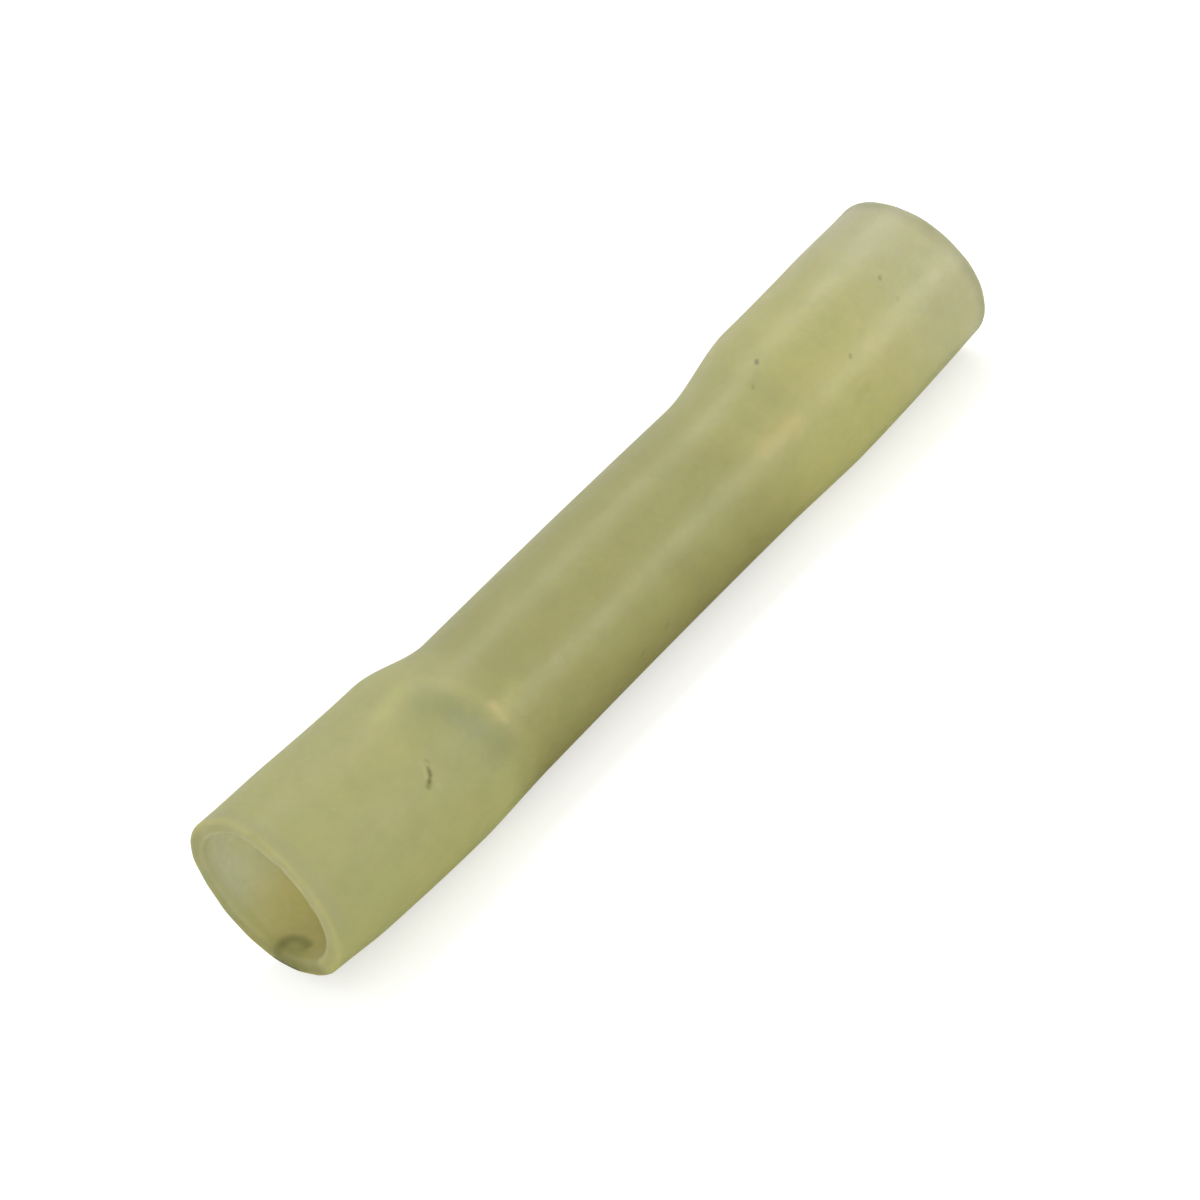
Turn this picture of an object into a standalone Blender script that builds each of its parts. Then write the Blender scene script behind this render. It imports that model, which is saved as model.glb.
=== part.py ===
# Insulated butt connector for joining two wires end to end, lying on its side.
# A tinned copper crimp barrel sits in the middle of a heat shrink sleeve. The
# sleeve has been shrunk onto the barrel, and its two ends stay wide for the wires.
# Metres, +X along the tube, +Z up, origin on the table below the middle.

import bpy
import bmesh
import numpy as np
from math import cos, pi, radians, tau
from mathutils import Matrix

MM = 0.001

# Sleeve, as extruded and cut
SLEEVE_LENGTH = 40.0 * MM
SLEEVE_DIAMETER = 7.52 * MM
SLEEVE_WALL = 0.68 * MM
RIM_ROUNDING = 0.20 * MM

# Crimp barrel
BARREL_LENGTH = 15.0 * MM
BARREL_BORE = 3.4 * MM
BARREL_WALL = 0.80 * MM
BARREL_SHIFT = -0.3 * MM        # the barrel sits a little left of the sleeve's middle
BARREL_EDGE = 0.12 * MM         # rounding of the barrel's outer end edges
BARREL_FACE = 0.23 * MM         # flat ring left on each end, inside that rounding

# Wire stop, a dent pressed into the barrel's underside at mid length
STOP_DEPTH = 0.8 * MM
STOP_LENGTH = 1.8 * MM          # along the barrel
STOP_WIDTH = 3.0 * MM           # around the barrel

# How the sleeve has shrunk
GRIP_GAP = 0.09 * MM            # between the barrel and the shrunk sleeve
LEFT_GRIP_PAST = 0.1 * MM       # neck that goes on past the barrel's left end
RIGHT_GRIP_SHORT = 0.6 * MM     # on the right the flare starts before the barrel ends
LEFT_FLARE = 3.6 * MM           # length of the flare from the neck to full width
RIGHT_FLARE = 4.8 * MM
MOUTH_DRAW = 0.07 * MM          # each mouth has drawn in by this radius
MOUTH_DRAW_LENGTH = 4.0 * MM

# How it lies: it touches the table where each flare ends, and the mouths rise from there
LEFT_MOUTH_RISE = 0.48 * MM
RIGHT_MOUTH_RISE = 0.35 * MM
NECK_CLEARANCE = 0.12 * MM      # the sleeve bows up this much between the two flares

# Both cut ends lean back, so that the mouths face a little upwards
LEFT_LEAN = 0.04                # along the tube, for each unit of height
RIGHT_LEAN = 0.084
LEAN_LENGTH = 12.0 * MM         # the lean builds up over this length before each end

SIDES = 32                      # flat sides that make up a full turn

SLEEVE_R = SLEEVE_DIAMETER / 2
SLEEVE_BORE_R = SLEEVE_R - SLEEVE_WALL
HALF_LENGTH = SLEEVE_LENGTH / 2
BARREL_R = BARREL_BORE / 2 + BARREL_WALL
BORE_LEAD_IN = BARREL_WALL - BARREL_EDGE - BARREL_FACE
NECK_BORE_R = BARREL_R + GRIP_GAP
NECK_LEFT = BARREL_SHIFT - BARREL_LENGTH / 2 - LEFT_GRIP_PAST
NECK_RIGHT = BARREL_SHIFT + BARREL_LENGTH / 2 - RIGHT_GRIP_SHORT
LEFT_REST = NECK_LEFT - LEFT_FLARE
RIGHT_REST = NECK_RIGHT + RIGHT_FLARE


def ease(u):
    """Smooth step from 0 to 1, level at both ends."""
    u = np.clip(u, 0.0, 1.0)
    return u * u * (3.0 - 2.0 * u)


def openness(x):
    """How far the sleeve is open at x: 0 where it grips the barrel, eased to 1 past each flare."""
    return ease((NECK_LEFT - x) / LEFT_FLARE) + ease((x - NECK_RIGHT) / RIGHT_FLARE)


def bore_radius(x):
    """Sleeve bore: tight on the barrel, full width past the flares, a little drawn in at each mouth."""
    mouth = ease((abs(x) - HALF_LENGTH + MOUTH_DRAW_LENGTH) / MOUTH_DRAW_LENGTH)
    return NECK_BORE_R + (SLEEVE_BORE_R - NECK_BORE_R) * openness(x) - MOUTH_DRAW * mouth


def outer_radius(x):
    """Shrinking keeps the wall's cross-section area, so a narrower bore has a thicker wall."""
    return np.sqrt(bore_radius(x) ** 2 + SLEEVE_R ** 2 - SLEEVE_BORE_R ** 2)


def underside(x):
    """Height of the sleeve's lowest line: on the table where each flare ends, and higher elsewhere."""
    left = max(0.0, LEFT_REST - x) / (HALF_LENGTH + LEFT_REST)
    right = max(0.0, x - RIGHT_REST) / (HALF_LENGTH - RIGHT_REST)
    between = np.clip((2 * x - LEFT_REST - RIGHT_REST) / (RIGHT_REST - LEFT_REST), -1.0, 1.0)
    mouths = LEFT_MOUTH_RISE * left ** 1.5 + RIGHT_MOUTH_RISE * right ** 1.5
    return mouths + NECK_CLEARANCE * (1.0 - between ** 2)


def centre_height(x):
    """Height of the section's centre at x, whose lowest side is a flat of the faceted turn."""
    return underside(x) + outer_radius(x) * cos(pi / SIDES)


def lean(x):
    """How far the section at x leans back towards the middle, for each unit of height."""
    steepest = LEFT_LEAN if x < 0 else -RIGHT_LEAN
    return steepest * ease((abs(x) - HALF_LENGTH + LEAN_LENGTH) / LEAN_LENGTH)


def sleeve_stations():
    """Places along the sleeve where its section is set: close together on the flares and mouths."""
    tip = HALF_LENGTH - RIM_ROUNDING
    mouth = np.linspace(HALF_LENGTH - MOUTH_DRAW_LENGTH, tip, 5)
    left_flare = np.linspace(LEFT_REST, NECK_LEFT, 8)
    right_flare = np.linspace(NECK_RIGHT, RIGHT_REST, 8)
    places = np.concatenate([-mouth, left_flare, [BARREL_SHIFT], right_flare, mouth])
    return np.unique(np.clip(places, -tip, tip))


def rim(end):
    """The rounded rim of one mouth, from its outer edge to its inner one, in three arc steps."""
    x_tip = end * (HALF_LENGTH - RIM_ROUNDING)
    outer = outer_radius(x_tip) - RIM_ROUNDING
    inner = bore_radius(x_tip) + RIM_ROUNDING
    arc = np.linspace(0.0, pi / 2, 4)[1:]
    out_side = [(x_tip + end * RIM_ROUNDING * np.sin(a), outer + RIM_ROUNDING * np.cos(a)) for a in arc]
    in_side = [(x_tip + end * RIM_ROUNDING * np.sin(a), inner - RIM_ROUNDING * np.cos(a)) for a in arc]
    return out_side + in_side[::-1]


def sleeve_profile():
    """Closed outline of the sleeve's wall in x and radius: outside, right rim, bore, left rim."""
    xs = sleeve_stations()
    outside = [(x, outer_radius(x)) for x in xs]
    inside = [(x, bore_radius(x)) for x in xs[::-1]]
    return outside + rim(1) + inside + rim(-1)[::-1]


def barrel_profile():
    """Closed outline of the barrel's wall: rounded outer edges, and a countersink at both bore mouths."""
    half = BARREL_LENGTH / 2
    bore = BARREL_BORE / 2
    middle = list(np.linspace(-STOP_LENGTH, STOP_LENGTH, 13))
    arc = np.linspace(0.0, pi / 2, 3)
    edge = [(half - BARREL_EDGE + BARREL_EDGE * np.sin(a), BARREL_R - BARREL_EDGE + BARREL_EDGE * np.cos(a))
            for a in arc]
    outside = [(-x, r) for x, r in edge[::-1]] + [(x, BARREL_R) for x in middle] + edge
    lead_in = [(half, bore + BORE_LEAD_IN), (half - BORE_LEAD_IN, bore)]
    inside = lead_in + [(-x, bore) for x in middle] + [(-x, r) for x, r in lead_in[::-1]]
    return [(x + BARREL_SHIFT, r) for x, r in outside + inside]


def turned(name, profile, collection):
    """Turn a closed outline about the X axis, with a flat and not an edge at the very bottom."""
    mesh = bmesh.new()
    verts = [mesh.verts.new((x, 0.0, r)) for x, r in profile]
    edges = [mesh.edges.new((verts[i - 1], verts[i])) for i in range(len(verts))]
    bmesh.ops.rotate(mesh, verts=verts, cent=(0, 0, 0), matrix=Matrix.Rotation(pi / SIDES, 3, "X"))
    bmesh.ops.spin(mesh, geom=verts + edges, cent=(0, 0, 0), axis=(1, 0, 0), angle=tau, steps=SIDES,
                   use_merge=True)
    bmesh.ops.remove_doubles(mesh, verts=mesh.verts, dist=1e-7)
    bmesh.ops.recalc_face_normals(mesh, faces=mesh.faces)
    data = bpy.data.meshes.new(name)
    mesh.to_mesh(data)
    mesh.free()
    part = bpy.data.objects.new(name, data)
    collection.objects.link(part)
    return part


def press_wire_stop(part):
    """Push both faces of the barrel's wall inwards in a smooth round-edged dent at mid length."""
    for vert in part.data.vertices:
        x, y, z = vert.co
        radius = np.hypot(y, z)
        angle = np.arctan2(y, -z)
        along = 2 * (x - BARREL_SHIFT) / STOP_LENGTH
        around = 2 * angle * BARREL_R / STOP_WIDTH
        push = STOP_DEPTH * np.exp(-(along ** 4) - around ** 4)
        vert.co.y = y * (radius - push) / radius
        vert.co.z = z * (radius - push) / radius


def lay_barrel(barrel):
    """Lift the barrel to the middle of the sleeve's neck."""
    middle_height = centre_height(BARREL_SHIFT)
    for vert in barrel.data.vertices:
        vert.co.z += middle_height


def lay_sleeve(sleeve):
    """Set every section of the sleeve at its own height, and lean it back from its lowest point."""
    for vert in sleeve.data.vertices:
        x = vert.co.x
        vert.co.x += lean(x) * (vert.co.z + outer_radius(x))
        vert.co.z += centre_height(x)


def paint(part, name, colour, roughness, metallic):
    """Give the part its own Principled material."""
    material = bpy.data.materials.new(name)
    material.use_nodes = True
    shader = material.node_tree.nodes["Principled BSDF"]
    shader.inputs["Base Color"].default_value = (*colour, 1.0)
    shader.inputs["Roughness"].default_value = roughness
    shader.inputs["Metallic"].default_value = metallic
    part.data.materials.append(material)


def shade(part):
    """Round walls shade smooth, and the edges of rims and ends stay crisp."""
    part.data.shade_smooth()
    part.data.set_sharp_from_angle(angle=radians(40.0))


def make_sleeve(collection):
    """Heat shrink sleeve: one extruded tube, necked onto the barrel by heat."""
    sleeve = turned("sleeve", sleeve_profile(), collection)
    lay_sleeve(sleeve)
    paint(sleeve, "yellow_heat_shrink", (0.42, 0.38, 0.16), 0.45, 0.0)
    shade(sleeve)


def make_barrel(collection):
    """Crimp barrel: a short tinned copper tube whose pressed dent stops both wires."""
    barrel = turned("crimp_barrel", barrel_profile(), collection)
    press_wire_stop(barrel)
    lay_barrel(barrel)
    paint(barrel, "tinned_copper", (0.68, 0.67, 0.64), 0.35, 1.0)
    shade(barrel)


for old in list(bpy.data.objects):
    bpy.data.objects.remove(old, do_unlink=True)

connector = bpy.data.collections.new("butt_connector")
bpy.context.scene.collection.children.link(connector)
make_sleeve(connector)
make_barrel(connector)
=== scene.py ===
import bpy
import numpy as np
from mathutils import Matrix, Vector


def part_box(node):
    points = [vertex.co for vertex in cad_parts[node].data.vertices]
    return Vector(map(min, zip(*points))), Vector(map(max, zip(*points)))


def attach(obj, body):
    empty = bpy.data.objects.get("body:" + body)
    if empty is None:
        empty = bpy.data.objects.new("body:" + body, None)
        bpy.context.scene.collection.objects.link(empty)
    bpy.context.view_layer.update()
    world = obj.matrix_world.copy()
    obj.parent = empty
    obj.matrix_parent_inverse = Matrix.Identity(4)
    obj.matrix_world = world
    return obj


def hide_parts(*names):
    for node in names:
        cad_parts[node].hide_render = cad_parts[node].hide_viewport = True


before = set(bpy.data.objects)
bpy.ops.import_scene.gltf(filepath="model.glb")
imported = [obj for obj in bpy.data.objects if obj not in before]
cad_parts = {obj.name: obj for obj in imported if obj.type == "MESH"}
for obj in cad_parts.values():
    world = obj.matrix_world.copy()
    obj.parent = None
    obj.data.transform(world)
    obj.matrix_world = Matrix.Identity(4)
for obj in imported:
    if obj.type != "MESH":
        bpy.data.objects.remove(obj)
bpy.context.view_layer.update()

# Crimp barrel: a short length of drawn copper tube, tin plated. Both ends of the bore are
# countersunk for the wires, and a dent pressed into the underside stops them at mid length.
MM = 0.001
BARREL_LOW, BARREL_HIGH = (np.array(corner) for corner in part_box("crimp_barrel"))
BARREL_BORE_R = 1.7 * MM
BARREL_EDGE = 0.14 * MM
BARREL_FACE = 0.21 * MM
STOP_DEPTH = 0.8 * MM
STOP_LENGTH = 1.8 * MM
STOP_WIDTH = 3.0 * MM
TIN = (0.60, 0.59, 0.56, 1.0)
TIN_BLOOM = (0.44, 0.43, 0.40, 1.0)


def closed_skin(name, points):
    """Mesh object from a grid of points that closes on itself both ways, like a ring's surface."""
    rows, turns = points.shape[:2]
    here = np.arange(rows * turns).reshape(rows, turns)
    along = np.roll(here, -1, axis=0)
    faces = np.stack([here, np.roll(here, -1, axis=1), np.roll(along, -1, axis=1), along], axis=-1)
    mesh = bpy.data.meshes.new(name)
    mesh.from_pydata(points.reshape(-1, 3).tolist(), [], faces.reshape(-1, 4).tolist())
    mesh.shade_smooth()
    skin = bpy.data.objects.new(name, mesh)
    bpy.context.scene.collection.objects.link(skin)
    return skin


def turn_angles(count):
    """Angles round the tube, from the top towards the -Y side and on under it."""
    return np.linspace(0.0, 2 * np.pi, count, endpoint=False)


def round_the_axis(x, radius, angle, height):
    """Points at a radius and an angle round an axis that runs along X at the given height."""
    return np.stack([x + 0 * angle, -radius * np.sin(angle), height + radius * np.cos(angle)], axis=-1)


def arc_points(centre_x, centre_r, radius, start, end, count):
    """Points (x, r) of an arc round a centre, angles counted from the outward radius towards +X."""
    angle = np.radians(np.linspace(start, end, count))
    return np.stack([centre_x + radius * np.sin(angle), centre_r + radius * np.cos(angle)], axis=-1)


def barrel_points():
    """The wall's outline turned about the barrel's axis, both faces then pushed in at the dent.

    The push falls off as exp(-(along^4) - around^4), so the dent has a flat floor and round edges.
    """
    middle_x = (BARREL_LOW[0] + BARREL_HIGH[0]) / 2
    half = (BARREL_HIGH[0] - BARREL_LOW[0]) / 2
    height = (BARREL_LOW[2] + BARREL_HIGH[2]) / 2
    outer = (BARREL_HIGH[2] - BARREL_LOW[2]) / 2
    lead_in = outer - BARREL_EDGE - BARREL_FACE - BARREL_BORE_R
    run = np.linspace(-half + BARREL_EDGE, half - BARREL_EDGE, 180)
    outside = np.stack([run, np.full_like(run, outer)], axis=-1)
    right_edge = arc_points(half - BARREL_EDGE, outer - BARREL_EDGE, BARREL_EDGE, 8, 90, 8)
    slope = np.linspace(0.0, 1.0, 8)[:, None]
    right_lead = (1 - slope) * [half, BARREL_BORE_R + lead_in] + slope * [half - lead_in, BARREL_BORE_R]
    bore_run = np.linspace(half - 1.15 * lead_in, -half + 1.15 * lead_in, 150)
    bore = np.stack([bore_run, np.full_like(bore_run, BARREL_BORE_R)], axis=-1)
    mirror = np.array([-1.0, 1.0])
    outline = np.concatenate([outside, right_edge, right_lead, bore, (right_lead * mirror)[::-1],
                              (right_edge * mirror)[::-1]])
    angle = turn_angles(128)[None, :]
    x = outline[:, :1]
    radius = outline[:, 1:]
    from_below = np.abs(angle - np.pi)
    along = 2 * x / STOP_LENGTH
    around = 2 * from_below * outer / STOP_WIDTH
    push = STOP_DEPTH * np.exp(-(along ** 4) - around ** 4)
    return round_the_axis(middle_x + x, radius - push, angle, height)


def put(tree, kind, inputs=(), **settings):
    """Add a node: settings are its own properties, inputs are socket values or links by name."""
    node = tree.nodes.new(kind)
    for name, value in settings.items():
        setattr(node, name, value)
    for name, value in dict(inputs).items():
        if isinstance(value, bpy.types.NodeSocket):
            tree.links.new(value, node.inputs[name])
        else:
            node.inputs[name].default_value = value
    return node


def mix(tree, factor, first, second, kind="MIX"):
    """Mix two colours, or multiply the first by the second, as far as the factor says."""
    node = put(tree, "ShaderNodeMix", {"Factor": factor, "A": first, "B": second}, data_type="RGBA",
               blend_type=kind)
    return node.outputs["Result"]


def ramp(tree, value, low, high):
    """Smooth step of a value from 0 at low to 1 at high, which may be the lower of the two."""
    node = put(tree, "ShaderNodeMapRange", {"Value": value, "From Min": low, "From Max": high},
               interpolation_type="SMOOTHSTEP")
    return node.outputs[0]


def any_ray(tree, rays, kinds):
    """1 for a ray of any of the kinds that Light Path names, such as Is Camera Ray, and otherwise 0."""
    mask = 0.0
    for kind in kinds:
        mask = put(tree, "ShaderNodeMath", {0: rays.outputs[kind], 1: mask},
                   operation="MAXIMUM").outputs[0]
    return mask


def new_material(name):
    """A node material with its own Principled shader, returned with its tree and shader."""
    material = bpy.data.materials.new(name)
    material.use_nodes = True
    return material, material.node_tree, material.node_tree.nodes["Principled BSDF"]


def new_group(name, inputs, outputs):
    """An empty shader node group with the named sockets, returned with its input and output nodes."""
    group = bpy.data.node_groups.new(name, "ShaderNodeTree")
    for socket, kind, value in inputs:
        made = group.interface.new_socket(socket, in_out="INPUT", socket_type=kind)
        made.default_value = value
    for socket, kind in outputs:
        group.interface.new_socket(socket, in_out="OUTPUT", socket_type=kind)
    return group, group.nodes.new("NodeGroupInput"), group.nodes.new("NodeGroupOutput")


def cloud_group():
    """Soft cloudiness: two octaves of noise on Object coordinates, spread to the full 0 to 1."""
    inputs = [("Size", "NodeSocketFloat", 1.0), ("Stretch", "NodeSocketFloat", 1.0)]
    group, given, result = new_group("cloud", inputs, [("Mask", "NodeSocketFloat")])
    place = put(group, "ShaderNodeTexCoord")
    squeeze = put(group, "ShaderNodeCombineXYZ", {"X": given.outputs["Stretch"], "Y": 1.0, "Z": 1.0})
    shaped = put(group, "ShaderNodeVectorMath", {0: place.outputs["Object"], 1: squeeze.outputs[0]},
                 operation="MULTIPLY")
    scale = put(group, "ShaderNodeMath", {0: 1.0, 1: given.outputs["Size"]}, operation="DIVIDE")
    noise = put(group, "ShaderNodeTexNoise", {"Vector": shaped.outputs[0], "Scale": scale.outputs[0],
                                              "Detail": 2.0, "Roughness": 0.55})
    spread = put(group, "ShaderNodeMapRange", {"Value": noise.outputs["Fac"], "From Min": 0.3,
                                               "From Max": 0.7})
    group.links.new(spread.outputs[0], result.inputs["Mask"])
    return group


def cloud(tree, size, stretch=1.0):
    """A cloud group node in the tree; size is the width of its patches in metres."""
    node = put(tree, "ShaderNodeGroup", {}, node_tree=CLOUD)
    node.inputs["Size"].default_value = size
    node.inputs["Stretch"].default_value = stretch
    return node.outputs["Mask"]


def tin_material():
    """Tin plate: bright grey metal with a dull bloom in patches and fine drawing lines lengthwise."""
    material, tree, shader = new_material("tin_plate")
    bloom = cloud(tree, 1.6 * MM)
    colour = mix(tree, bloom, TIN, TIN_BLOOM)
    rough = put(tree, "ShaderNodeMapRange", {"Value": bloom, "To Min": 0.26, "To Max": 0.46})
    lines = cloud(tree, 0.12 * MM, 0.04)
    bump = put(tree, "ShaderNodeBump", {"Height": lines, "Strength": 0.35, "Distance": 0.01 * MM})
    tree.links.new(colour, shader.inputs["Base Color"])
    tree.links.new(rough.outputs[0], shader.inputs["Roughness"])
    tree.links.new(bump.outputs[0], shader.inputs["Normal"])
    shader.inputs["Metallic"].default_value = 1.0
    return material


CLOUD = cloud_group()
barrel = closed_skin("tinned_crimp_barrel", barrel_points())
barrel.data.materials.append(tin_material())
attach(barrel, "root")
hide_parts("crimp_barrel")


# Sleeve: one extruded tube of yellow heat shrink plastic, cloudy and translucent. Heat has drawn
# it down onto the barrel, and its two unshrunk ends flare out and stand a little off the table.
SLEEVE_LOW, SLEEVE_HIGH = (np.array(corner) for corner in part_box("sleeve"))
HALF_LENGTH = (SLEEVE_HIGH[0] - SLEEVE_LOW[0]) / 2
SLEEVE_R = 3.76 * MM
SLEEVE_BORE_R = SLEEVE_R - 0.68 * MM
LIP, LIP_STEPS = 0.22 * MM, 6
TURNS = 180
NECK_BORE_R = (BARREL_HIGH[2] - BARREL_LOW[2]) / 2 + 0.09 * MM
NECK_LEFT, LEFT_FLARE = BARREL_LOW[0] - 0.1 * MM, 3.6 * MM
NECK_RIGHT, RIGHT_FLARE = BARREL_HIGH[0] - 0.6 * MM, 4.8 * MM
LEFT_REST, RIGHT_REST = NECK_LEFT - LEFT_FLARE, NECK_RIGHT + RIGHT_FLARE
MOUTH_DRAW, MOUTH_DRAW_LENGTH = 0.07 * MM, 4.0 * MM
LEFT_MOUTH_RISE, RIGHT_MOUTH_RISE = 0.48 * MM, 0.35 * MM
NECK_CLEARANCE = 0.12 * MM
LEFT_LEAN, RIGHT_LEAN, LEAN_LENGTH = 0.04, 0.084, 12.0 * MM
# The plastic's own yellow along the tube, and in the bore its paler lining, brightened as painted light,
# with painted shade just inside the left mouth
YELLOW_LEFT = (0.323, 0.324, 0.134, 1.0)
YELLOW_NECK = (0.286, 0.282, 0.106, 1.0)
YELLOW_RIGHT = (0.360, 0.352, 0.140, 1.0)
YELLOW_TIP = (0.383, 0.377, 0.222, 1.0)
LIT_BORE_HIGH = (0.655, 0.674, 0.472, 1.0)
LIT_BORE_LOW = (0.640, 0.604, 0.268, 1.0)
BORE_MOUTH_SHADE = (0.87, 0.87, 0.87, 1.0)
# Tints over it: painted shade on the cut ends, painted shade and light underneath, and in clouds
CUT_NEAR_SHADE = (0.96, 0.93, 0.97, 1.0)
CUT_FAR_HIGH_SHADE = (0.79, 0.78, 0.72, 1.0)
CUT_FAR_LOW_SHADE = (0.68, 0.65, 0.57, 1.0)
CUT_RIGHT_SHADE = (0.35, 0.42, 0.60, 1.0)
NECK_UNDERSIDE_SHADE = (0.76, 0.725, 0.515, 1.0)
END_UNDERSIDE_LIGHT = (1.01, 1.03, 0.90, 1.0)
CLOUDS = ((1.5 * MM, (0.93, 0.945, 0.93, 1.0)), (0.4 * MM, (0.955, 0.975, 0.965, 1.0)),
          (0.7 * MM, (1.03, 1.00, 1.03, 1.0)), (3.1 * MM, (1.045, 1.01, 0.985, 1.0)))
# Left mouth: the cut lies back on the near side, and the bore sits a little off the tube's middle
LEFT_MOUTH_LENGTH = 3.0 * MM
CUT_BACK = 0.33 * MM
BORE_OFFSET, BORE_OFFSET_ANGLE = 0.12 * MM, np.radians(35.0)
# The same mouth is pressed a little flat on its lower near side
FLAT, FLAT_ANGLE, FLAT_HALF_ANGLE = 0.11 * MM, np.radians(160.0), np.radians(38.0)
# The knife left a nick in that edge, and small waves in both, which fade out along the tube
NICK, NICK_ANGLE, NICK_HALF_ANGLE = 0.04 * MM, 0.86, 0.08
WAVE, WAVE_LENGTH = 0.012 * MM, 1.5 * MM
# The paler lining shows fully this far inside a mouth, and the cut's painted shade fades over this length
LINING_START, CUT_SHADE_LENGTH = 0.3 * MM, 0.6 * MM


def ease(u):
    """Smooth step from 0 to 1, level at both ends."""
    u = np.clip(u, 0.0, 1.0)
    return u * u * (3.0 - 2.0 * u)


def openness(x):
    """How far the sleeve is open at x: 0 where it grips the barrel, eased to 1 past each flare."""
    return ease((NECK_LEFT - x) / LEFT_FLARE) + ease((x - NECK_RIGHT) / RIGHT_FLARE)


def bore_radius(x):
    """Tight on the barrel, full width past the flares, a little drawn in at each mouth."""
    mouth = ease((np.abs(x) - HALF_LENGTH + MOUTH_DRAW_LENGTH) / MOUTH_DRAW_LENGTH)
    return NECK_BORE_R + (SLEEVE_BORE_R - NECK_BORE_R) * openness(x) - MOUTH_DRAW * mouth


def outer_radius(x):
    """The wall's cross-section area is the same everywhere, so a narrower bore has a thicker wall."""
    return np.sqrt(bore_radius(x) ** 2 + SLEEVE_R ** 2 - SLEEVE_BORE_R ** 2)


def underside(x):
    """Height of the lowest line: on the table where each flare ends, higher between and at the mouths."""
    left = np.maximum(0.0, LEFT_REST - x) / (HALF_LENGTH + LEFT_REST)
    right = np.maximum(0.0, x - RIGHT_REST) / (HALF_LENGTH - RIGHT_REST)
    between = np.clip((2 * x - LEFT_REST - RIGHT_REST) / (RIGHT_REST - LEFT_REST), -1.0, 1.0)
    mouths = LEFT_MOUTH_RISE * left ** 1.5 + RIGHT_MOUTH_RISE * right ** 1.5
    return mouths + NECK_CLEARANCE * (1.0 - between ** 2)


def lean(x):
    """How far the section at x leans back towards the middle, for each unit of height."""
    steepest = np.where(x < 0, LEFT_LEAN, -RIGHT_LEAN)
    return steepest * ease((np.abs(x) - HALF_LENGTH + LEAN_LENGTH) / LEAN_LENGTH)


def sleeve_outline():
    """Closed outline (x, r) of the wall: outside, right lip, bore, left lip.

    With it come three shares for each point: how far it lies inside, which rises from 0 to 1 round each
    lip's inner edge; how much lining covers it; and how far it takes the cut's painted shade. The cut's
    painted shade is strongest on the right lip's outer rounding and on the left lip's face, and fades as
    a power of the distance on both sides of a lip. The left lip's points run from the bore outwards.
    """
    tip = HALF_LENGTH - LIP
    run = np.linspace(-tip, tip, 300)
    outside = np.stack([run, outer_radius(run)], axis=-1)
    bore_run = run[::-2]
    bore = np.stack([bore_run, bore_radius(bore_run)], axis=-1)
    lips = {}
    for end in (-1, 1):
        x_tip = np.float64(end * tip)
        outer = arc_points(0.0, outer_radius(x_tip) - LIP, LIP, 15, 90, LIP_STEPS)
        inner = arc_points(0.0, -bore_radius(x_tip) - LIP, LIP, 90, 15, LIP_STEPS) * [1, -1]
        lip = np.concatenate([outer, inner]) * [end, 1] + [x_tip, 0.0]
        lips[end] = lip[::end]
    outline = np.concatenate([outside, lips[1], bore, lips[-1]])
    edge = np.concatenate([np.zeros(LIP_STEPS), np.linspace(0.0, 1.0, LIP_STEPS)])
    inside = np.concatenate([np.zeros(len(outside)), edge, np.ones(len(bore)), edge[::-1]])
    face = np.concatenate([np.linspace(0.0, 0.1, LIP_STEPS), np.linspace(0.1, 0.45, LIP_STEPS)])
    covered = 0.45 + 0.55 * ease((tip - np.abs(bore_run)) / LINING_START)
    lining = np.concatenate([np.zeros(len(outside)), face, covered, face[::-1]])
    round_lip = np.arange(2 * LIP_STEPS)
    # Painted shade round each lip, fading away from it along the outside and the bore
    right_cut_shade = np.interp(round_lip, [0, 2, 3, 5, 6, 11], [0.50, 0.85, 0.82, 0.20, 0.12, 0.0])
    left_cut_shade = np.interp(round_lip, [0, 2, 4, 6, 11], [0.72, 1.0, 1.0, 0.90, 0.50])
    fade_out, fade_in = (np.clip(1.0 - (tip - np.abs(x)) / CUT_SHADE_LENGTH, 0.0, 1.0) ** 1.3
                         for x in (run, bore_run))
    cut = np.concatenate([0.45 * fade_out, right_cut_shade, 0.08 * fade_in, left_cut_shade])
    return outline, inside, lining, cut


def near_left_mouth(x):
    """0 over most of the sleeve, eased to 1 over the left mouth's length."""
    return ease((LEFT_MOUTH_LENGTH - HALF_LENGTH - x) / LEFT_MOUTH_LENGTH)


def cut_back(x, angle):
    """How far the cut lies back, for angles in radians from the top towards the near side.

    The left mouth has a step: an eased rise about the top, an eased fall to 40 % of it low on the near
    side, and another fall to nothing past the underside. A nick, as exp(-(angle off / half angle)^2), is
    added there, and on both mouths the sum of three sine waves round the tube.
    """
    turned = (angle + np.pi / 2) % (2 * np.pi) - np.pi / 2
    rise = ease((turned + 0.7) / 0.8)
    low_side = 1.0 - 0.6 * ease((turned - 1.5) / 1.1)
    last_fall = ease((3.9 - turned) / 0.9)
    nick = NICK * np.exp(-((turned - NICK_ANGLE) / NICK_HALF_ANGLE) ** 2)
    waves = WAVE * (np.sin(3 * angle + 1.0) + np.sin(7 * angle) + 0.5 * np.sin(17 * angle))
    at_end = ease((np.abs(x) - HALF_LENGTH + WAVE_LENGTH) / WAVE_LENGTH)
    step = CUT_BACK * rise * low_side * last_fall
    return (step + nick) * near_left_mouth(x) - np.sign(x) * waves * at_end


def pressed_flat(x, angle):
    """How far the left mouth's wall is pressed in, as exp(-(angle off / half angle)^2) round the tube."""
    return FLAT * near_left_mouth(x) * np.exp(-((angle - FLAT_ANGLE) / FLAT_HALF_ANGLE) ** 2)


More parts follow.
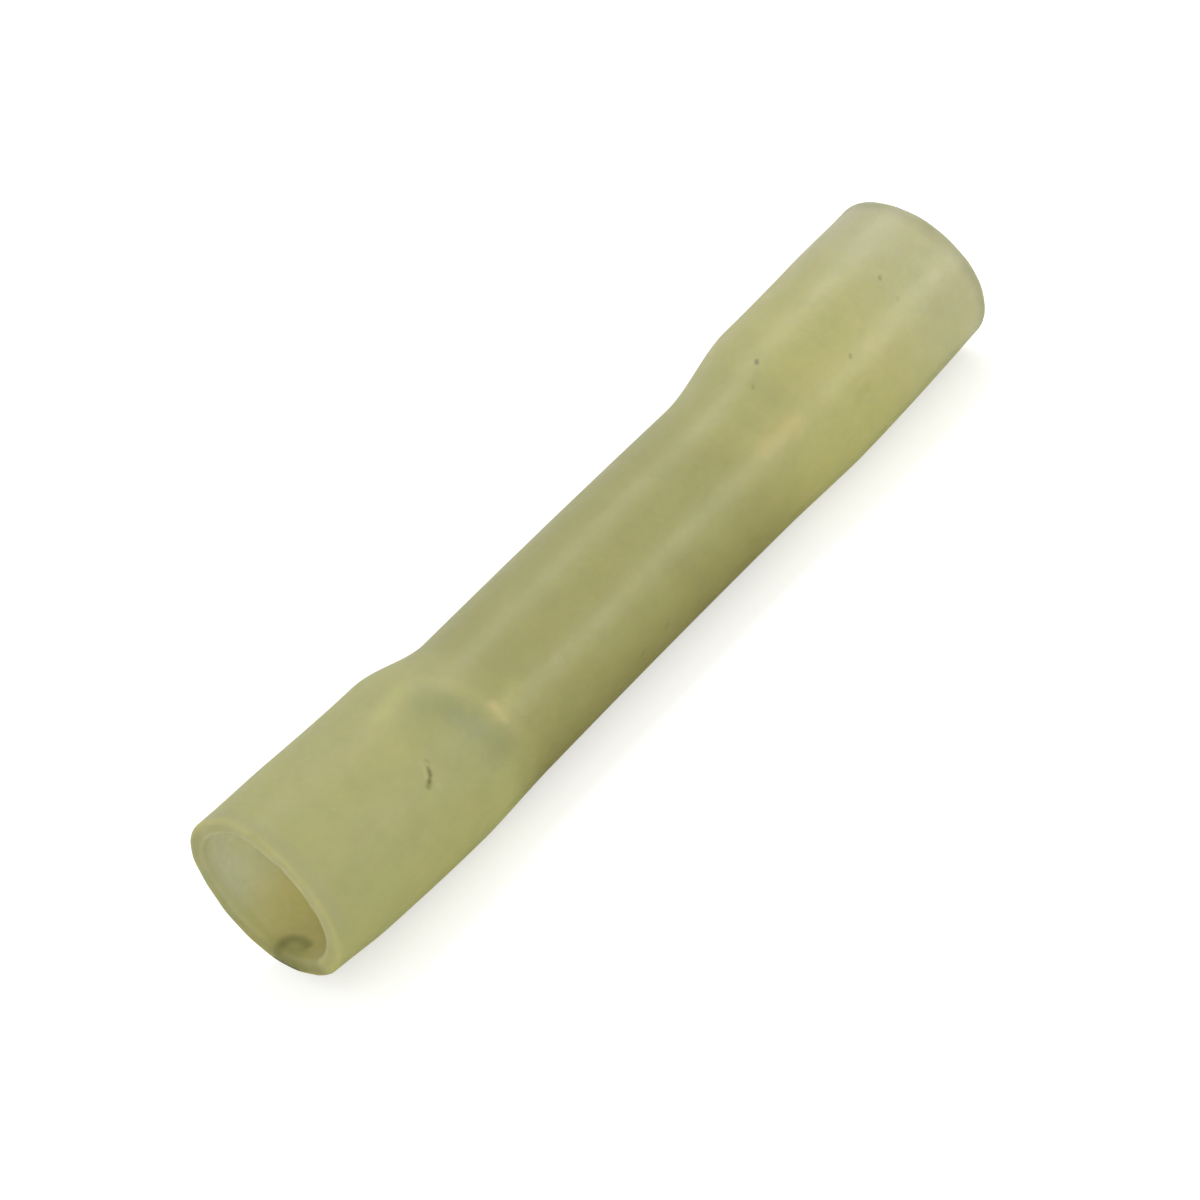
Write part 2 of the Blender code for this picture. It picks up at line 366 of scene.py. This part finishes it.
def sleeve_points(outline, inside):
    """The outline turned, each section set at its own height and leaning back from its lowest point."""
    angle = turn_angles(TURNS)[None, :]
    x, radius = outline[:, :1], outline[:, 1:]
    radius = radius - pressed_flat(x, angle)
    off = BORE_OFFSET * inside[:, None] * near_left_mouth(x)
    above = outer_radius(x) + radius * np.cos(angle) + off * np.cos(BORE_OFFSET_ANGLE)
    side = -radius * np.sin(angle) - off * np.sin(BORE_OFFSET_ANGLE)
    return np.stack([x + lean(x) * above + cut_back(x, angle), side, underside(x) + above], axis=-1)


def lip_radius(x):
    """Radius of the middle of a lip's outer rounding."""
    return outer_radius(x) - 0.2 * MM


def on_sleeve(x, angle, radius_of):
    """The point on the outer or the bore surface at x (in mm) and an angle (in degrees)."""
    x, angle = x * MM, np.radians(angle)
    above = outer_radius(x) + radius_of(x) * np.cos(angle)
    along = x + lean(x) * above + cut_back(x, angle)
    return (float(along), float(-radius_of(x) * np.sin(angle)), float(underside(x) + above))


def stroke_group():
    """Mask of a soft round-ended stroke: 1 on the line from Start to End, 0 from Width away."""
    inputs = [("Start", "NodeSocketVector", (0, 0, 0)), ("End", "NodeSocketVector", (0, 0, 0)),
              ("Width", "NodeSocketFloat", 1.0)]
    group, given, result = new_group("stroke", inputs, [("Mask", "NodeSocketFloat")])
    place = put(group, "ShaderNodeTexCoord").outputs["Object"]
    start, end = given.outputs["Start"], given.outputs["End"]
    whole = put(group, "ShaderNodeVectorMath", {0: end, 1: start}, operation="SUBTRACT").outputs[0]
    here = put(group, "ShaderNodeVectorMath", {0: place, 1: start}, operation="SUBTRACT").outputs[0]
    reach, square = (put(group, "ShaderNodeVectorMath", {0: side, 1: whole},
                         operation="DOT_PRODUCT").outputs["Value"] for side in (here, whole))
    share = put(group, "ShaderNodeMath", {0: reach, 1: square}, operation="DIVIDE",
                use_clamp=True).outputs[0]
    foot = put(group, "ShaderNodeVectorMath", {0: whole, "Scale": share}, operation="SCALE").outputs[0]
    away = put(group, "ShaderNodeVectorMath", {0: here, 1: foot}, operation="DISTANCE").outputs["Value"]
    group.links.new(ramp(group, away, given.outputs["Width"], 0.0), result.inputs["Mask"])
    return group


def paint_line(tree, colour, tint, width, points, radius_of=outer_radius):
    """Multiply a colour by a tint along a chain of soft strokes through points (x mm, angle degrees)."""
    places = [on_sleeve(x, angle, radius_of) for x, angle in points]
    mask = 0.0
    for start, end in zip(places[:-1], places[1:]):
        stroke = put(tree, "ShaderNodeGroup", {}, node_tree=STROKE)
        stroke.inputs["Start"].default_value = start
        stroke.inputs["End"].default_value = end
        stroke.inputs["Width"].default_value = width * MM
        mask = put(tree, "ShaderNodeMath", {0: stroke.outputs["Mask"], 1: mask},
                   operation="MAXIMUM").outputs[0]
    return mix(tree, mask, colour, (*tint, 1.0), "MULTIPLY")


def paint_shoulder_light_and_shade(tree, colour):
    """Painted light and shade where the sleeve leaves the barrel: a grey crescent of painted shade and
    painted highlights on paler ridges left, a painted highlight and a soft spot of painted shade right.
    """
    # Left shoulder: a grey crescent of painted shade with a bluish painted reflection at its middle and
    # painted shade beside it, then painted highlights along the ridges, in a bright spot and over the
    # barrel's end
    crescent = [(-10.95, 30), (-10.6, 42), (-10.4, 56), (-10.2, 70), (-10.05, 80)]
    colour = paint_line(tree, colour, (0.80, 0.84, 0.85), 1.35, crescent)
    shade_beside_crescent = [(-11.7, 46), (-11.9, 62), (-10.9, 88), (-11.1, 96)]
    colour = paint_line(tree, colour, (0.95, 0.96, 0.95), 1.3, shade_beside_crescent)
    colour = paint_line(tree, colour, (0.98, 1.00, 1.12), 0.8, [(-10.7, 54), (-10.4, 66)])
    ridge_highlight = [(-14.6, 28), (-12.4, 24), (-10.4, 22), (-9.7, 36), (-9.25, 56)]
    colour = paint_line(tree, colour, (1.06, 1.04, 1.06), 0.7, ridge_highlight)
    colour = paint_line(tree, colour, (1.09, 1.09, 1.07), 0.7, [(-12.6, 21), (-11.1, 17)])
    colour = paint_line(tree, colour, (1.20, 1.12, 1.22), 0.42, [(-9.15, 60), (-9.15, 70)])
    colour = paint_line(tree, colour, (1.10, 1.09, 1.08), 0.7, [(-9.0, 65), (-7.9, 61)])
    barrel_edge_highlight = [(-9.0, 78), (-8.55, 96), (-8.9, 109), (-9.3, 122)]
    colour = paint_line(tree, colour, (1.07, 1.05, 1.06), 0.45, barrel_edge_highlight)
    # Right shoulder: a warm painted highlight and a soft patch of painted shade
    colour = paint_line(tree, colour, (1.14, 1.06, 1.05), 0.75, [(6.9, 63), (8.5, 66)])
    return paint_line(tree, colour, (0.95, 0.95, 0.96), 0.8, [(8.9, 30), (8.8, 45)])


def paint_wear_and_highlight(tree, colour):
    """A faint darker band round the neck, a short scratch on the left end with a painted highlight along
    its raised edge, and single dark specks.
    """
    darker_band = [(0.6, 74), (0.95, 88), (1.2, 103), (1.5, 136)]
    colour = paint_line(tree, colour, (0.93, 0.93, 0.91), 0.9, darker_band)
    # Painted highlight along the scratch's raised edge, then the scratch's own darker marks
    raised_edge_highlight = [(-13.02, 57.5), (-13.08, 61.5), (-13.28, 65.5)]
    colour = paint_line(tree, colour, (1.07, 1.07, 1.10), 0.10, raised_edge_highlight)
    colour = paint_line(tree, colour, (0.84, 0.85, 0.82), 0.10, [(-12.80, 58.5), (-12.76, 60.5)])
    scratch = [(-12.94, 62.3), (-13.05, 66.3), (-13.28, 68.8)]
    colour = paint_line(tree, colour, (0.66, 0.65, 0.48), 0.11, scratch)
    colour = paint_line(tree, colour, (0.70, 0.69, 0.56), 0.17, [(-13.00, 64.6), (-13.06, 66.4)])
    colour = paint_line(tree, colour, (0.60, 0.63, 0.44), 0.20, [(-13.26, 68.8), (-13.40, 70.2)])
    specks = [(9.45, 23, 0.16, 0.50), (12.35, 65, 0.13, 0.68), (16.2, 45, 0.14, 0.68),
              (8.45, 31.5, 0.12, 0.8), (15.98, 62, 0.13, 0.88), (-1.02, 110.5, 0.20, 0.82),
              (-2.52, 113.5, 0.20, 0.82)]
    for x, angle, width, shade in specks:
        dot = [(x, angle), (x + 0.08, angle - 1.0)]
        colour = paint_line(tree, colour, (shade, shade, shade), width, dot)
    return colour


def paint_left_lip(tree, colour):
    """A cooler near edge, and low on the lip painted shade: a dark patch, its darker curved rim and a
    dark line beside it.
    """
    near_lip = [(-19.6, angle) for angle in (-20, 5, 30, 55, 80, 100)]
    colour = paint_line(tree, colour, (0.95, 0.95, 1.08), 0.6, near_lip)
    # Painted shade low on the lip: a broad dark patch, its darker curved rim, and a dark line on the lip
    # beside it
    colour = paint_line(tree, colour, (0.78, 0.79, 0.73), 1.0, [(-19.8, 200), (-19.8, 188)], bore_radius)
    patch = [(-19.6, 200), (-19.4, 192), (-19.35, 187)]
    colour = paint_line(tree, colour, (0.84, 0.87, 0.80), 0.55, patch, bore_radius)
    patch_rim_shade = [(-19.75, 203), (-19.44, 204), (-19.18, 201), (-19.06, 195), (-19.08, 188.5),
                 (-19.18, 185)]
    colour = paint_line(tree, colour, (0.55, 0.56, 0.48), 0.38, patch_rim_shade, bore_radius)
    lip_shade_line = [(-20.0, 203), (-20.0, 195), (-20.0, 186)]
    return paint_line(tree, colour, (0.42, 0.42, 0.37), 0.32, lip_shade_line, lip_radius)


def outside_colour(tree, axes, on_barrel, low):
    """The sleeve's yellow along its length, with painted shade and light underneath, painted light and
    shade on its shoulders, and its wear.
    """
    past_barrel = ramp(tree, axes["X"], NECK_RIGHT - 2.6 * MM, RIGHT_REST - 1.5 * MM)
    at_tip = ramp(tree, axes["X"], RIGHT_REST, HALF_LENGTH)
    colour = mix(tree, on_barrel, YELLOW_LEFT, YELLOW_NECK)
    colour = mix(tree, past_barrel, colour, YELLOW_RIGHT)
    colour = mix(tree, at_tip, colour, YELLOW_TIP)
    on_neck = put(tree, "ShaderNodeMath", {0: on_barrel, 1: past_barrel}, operation="SUBTRACT").outputs[0]
    # Painted shade under the neck and painted light under the ends, growing towards the table
    colour = mix(tree, low, colour, mix(tree, on_neck, END_UNDERSIDE_LIGHT, NECK_UNDERSIDE_SHADE), "MULTIPLY")
    return paint_wear_and_highlight(tree, paint_shoulder_light_and_shade(tree, colour))


def bore_colour(tree, axes):
    """The paler bore, brightened as painted light: yellower low down, and a little darker just inside the
    left mouth as painted shade.
    """
    low = ramp(tree, axes["Z"], 4.2 * MM, 1.6 * MM)
    colour = mix(tree, low, LIT_BORE_HIGH, LIT_BORE_LOW)
    at_left_mouth = ramp(tree, axes["X"], 2.2 * MM - HALF_LENGTH, 0.4 * MM - HALF_LENGTH)
    return mix(tree, at_left_mouth, colour, BORE_MOUTH_SHADE, "MULTIPLY")


def cut_shade_tint(tree, place, axes, low):
    """Painted shade on the cut faces: weak on the left mouth's near side, stronger on its far side and
    right.
    """
    across = put(tree, "ShaderNodeVectorMath", {0: place, 1: (0.0, 0.87, -0.5)}, operation="DOT_PRODUCT")
    far_side = ramp(tree, across.outputs["Value"], -2.7 * MM, -1.5 * MM)
    left_tint = mix(tree, far_side, CUT_NEAR_SHADE, mix(tree, low, CUT_FAR_HIGH_SHADE, CUT_FAR_LOW_SHADE))
    return mix(tree, ramp(tree, axes["X"], -MM, MM), left_tint, CUT_RIGHT_SHADE)


def sleeve_material():
    """Cloudy yellow plastic: greyer on the barrel, paler towards the right mouth and in the bore, where
    it is brightened as painted light, with painted light and shade over it in places.
    """
    material, tree, shader = new_material("yellow_heat_shrink")
    place = put(tree, "ShaderNodeTexCoord").outputs["Object"]
    axes = put(tree, "ShaderNodeSeparateXYZ", {"Vector": place}).outputs
    on_barrel = ramp(tree, axes["X"], LEFT_REST + 0.6 * MM, NECK_LEFT)
    low = ramp(tree, axes["Z"], 4.4 * MM, 0.8 * MM)
    lining = put(tree, "ShaderNodeAttribute", {}, attribute_name="lining").outputs["Fac"]
    cut_shade = put(tree, "ShaderNodeAttribute", {}, attribute_name="cut_shade").outputs["Fac"]
    colour = mix(tree, lining, outside_colour(tree, axes, on_barrel, low), bore_colour(tree, axes))
    # Painted shade on the cut faces and round the lips
    colour = mix(tree, cut_shade, colour, cut_shade_tint(tree, place, axes, low), "MULTIPLY")
    colour = paint_left_lip(tree, colour)
    for size, tint in CLOUDS:
        colour = mix(tree, cloud(tree, size), colour, tint, "MULTIPLY")
    satin = put(tree, "ShaderNodeMapRange", {"Value": on_barrel, "To Min": 0.50, "To Max": 0.36})
    rough = put(tree, "ShaderNodeMath", {0: cloud(tree, 0.9 * MM), 1: 0.12, 2: satin.outputs[0]},
                operation="MULTIPLY_ADD")
    tree.links.new(colour, shader.inputs["Base Color"])
    grain = mix(tree, 0.4, cloud(tree, 0.9 * MM), cloud(tree, 0.33 * MM))
    bump = put(tree, "ShaderNodeBump", {"Height": grain, "Strength": 1.0, "Distance": 0.012 * MM})
    tree.links.new(rough.outputs[0], shader.inputs["Roughness"])
    tree.links.new(bump.outputs[0], shader.inputs["Normal"])
    shader.inputs["Specular IOR Level"].default_value = 0.42
    shader.inputs["Subsurface Weight"].default_value = 1.0
    shader.inputs["Subsurface Scale"].default_value = 1.2 * MM
    shader.inputs["Subsurface Radius"].default_value = (1.0, 0.95, 0.5)
    return material


STROKE = stroke_group()
outline, inside_share, lining_share, cut_shade_share = sleeve_outline()
sleeve = closed_skin("heat_shrink_sleeve", sleeve_points(outline, inside_share))
for attribute_name, share in (("lining", lining_share), ("cut_shade", cut_shade_share)):
    attribute = sleeve.data.attributes.new(attribute_name, "FLOAT", "POINT")
    attribute.data.foreach_set("value", np.repeat(share, TURNS))
sleeve.data.materials.append(sleeve_material())
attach(sleeve, "root")
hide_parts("sleeve")


# Table: a white sheet that stays white behind the part and takes its soft shadow.
TABLE_HALF = 600 * MM
TABLE_WHITE = (0.58, 0.58, 0.56, 1.0)
TABLE_GLOW = 0.55
TABLE_FILL = 0.22


def table_material():
    """White sheet that glows: strongly where it is seen directly, weakly where it lights the part.

    Its reflection in the part has no glow.
    """
    material, tree, shader = new_material("white_sheet")
    grain = cloud(tree, 3.0 * MM)
    bump = put(tree, "ShaderNodeBump", {"Height": grain, "Strength": 0.05, "Distance": 0.02 * MM})
    tree.links.new(bump.outputs[0], shader.inputs["Normal"])
    shader.inputs["Base Color"].default_value = TABLE_WHITE
    shader.inputs["Roughness"].default_value = 0.9
    shader.inputs["Specular IOR Level"].default_value = 0.1
    rays = put(tree, "ShaderNodeLightPath")
    direct = any_ray(tree, rays, ("Is Camera Ray", "Is Transmission Ray"))
    fill = put(tree, "ShaderNodeMath", {0: rays.outputs["Is Diffuse Ray"], 1: TABLE_FILL},
               operation="MULTIPLY")
    glow = put(tree, "ShaderNodeMath", {0: direct, 1: TABLE_GLOW, 2: fill.outputs[0]},
               operation="MULTIPLY_ADD")
    shader.inputs["Emission Color"].default_value = (1.0, 1.0, 1.0, 1.0)
    tree.links.new(glow.outputs[0], shader.inputs["Emission Strength"])
    return material


table_mesh = bpy.data.meshes.new("table")
corners = [(-TABLE_HALF, -TABLE_HALF, 0), (TABLE_HALF, -TABLE_HALF, 0), (TABLE_HALF, TABLE_HALF, 0),
           (-TABLE_HALF, TABLE_HALF, 0)]
table_mesh.from_pydata(corners, [], [(0, 1, 2, 3)])
table = bpy.data.objects.new("table", table_mesh)
bpy.context.scene.collection.objects.link(table)
table.data.materials.append(table_material())


# Camera: it looks down at the part from the left front, turned so that the part runs up to the
# right. A long lens keeps the tube's two sides nearly parallel.
AIM = Vector((-1.08 * MM, 0.23 * MM, 3.09 * MM))
CAMERA_AZIMUTH = -30.26
CAMERA_ELEVATION = 30.0
CAMERA_ROLL = -28.36
CAMERA_DISTANCE = 124.5 * MM
CAMERA_LENS = 95.57


def aim_camera():
    """Camera on a sphere round the aim point, looking at it, then rolled about its own view axis."""
    azimuth, elevation, roll = np.radians([CAMERA_AZIMUTH, CAMERA_ELEVATION, CAMERA_ROLL])
    flat = np.cos(elevation)
    back = Vector((np.sin(azimuth) * flat, -np.cos(azimuth) * flat, np.sin(elevation)))
    turn = back.to_track_quat("Z", "Y").to_matrix() @ Matrix.Rotation(roll, 3, "Z")
    data = bpy.data.cameras.new("camera")
    data.lens = CAMERA_LENS
    data.clip_start = 5 * MM
    camera = bpy.data.objects.new("camera", data)
    camera.matrix_world = Matrix.Translation(AIM + back * CAMERA_DISTANCE) @ turn.to_4x4()
    bpy.context.scene.collection.objects.link(camera)
    bpy.context.scene.camera = camera


aim_camera()


# Light: a long softbox above and to the right, a warm one low in front, a third at the left
# front, and an even white surround.
SURROUND = 0.847


def softbox(name, towards, distance, size, power, colour=(1.0, 1.0, 1.0)):
    """A rectangular lamp at a distance in a direction from the part, facing it, long along X."""
    towards = Vector(towards).normalized()
    data = bpy.data.lights.new(name, "AREA")
    data.shape = "RECTANGLE"
    data.size, data.size_y = size
    data.energy = power
    data.color = colour
    lamp = bpy.data.objects.new(name, data)
    side = Vector((1, 0, 0)).cross(towards).normalized()
    along = towards.cross(side)
    turn = Matrix((-along, side, towards)).transposed()
    lamp.matrix_world = Matrix.Translation(AIM + towards * distance) @ turn.to_4x4()
    bpy.context.scene.collection.objects.link(lamp)


def surround_material():
    """The world lights the part evenly, and is plain white where it is seen or reflected."""
    world = bpy.data.worlds.new("surround")
    world.use_nodes = True
    tree = world.node_tree
    rays = put(tree, "ShaderNodeLightPath")
    direct = any_ray(tree, rays, ("Is Camera Ray", "Is Glossy Ray", "Is Transmission Ray"))
    strength = put(tree, "ShaderNodeMapRange", {"Value": direct, "To Min": SURROUND, "To Max": 1.0})
    background = tree.nodes["Background"]
    background.inputs["Color"].default_value = (1.0, 1.0, 1.0, 1.0)
    tree.links.new(strength.outputs[0], background.inputs["Strength"])
    bpy.context.scene.world = world


softbox("overhead_softbox", (0.44, 0.17, 0.88), 0.30, (0.30, 0.06), 0.297)
softbox("front_softbox", (0.50, -0.86, 0.14), 0.30, (0.12, 0.06), 0.25, (1.0, 0.95, 0.82))
softbox("left_softbox", (-0.60, -0.70, 0.35), 0.35, (0.20, 0.20), 0.352)
surround_material()

bpy.context.scene.view_settings.view_transform = "Standard"
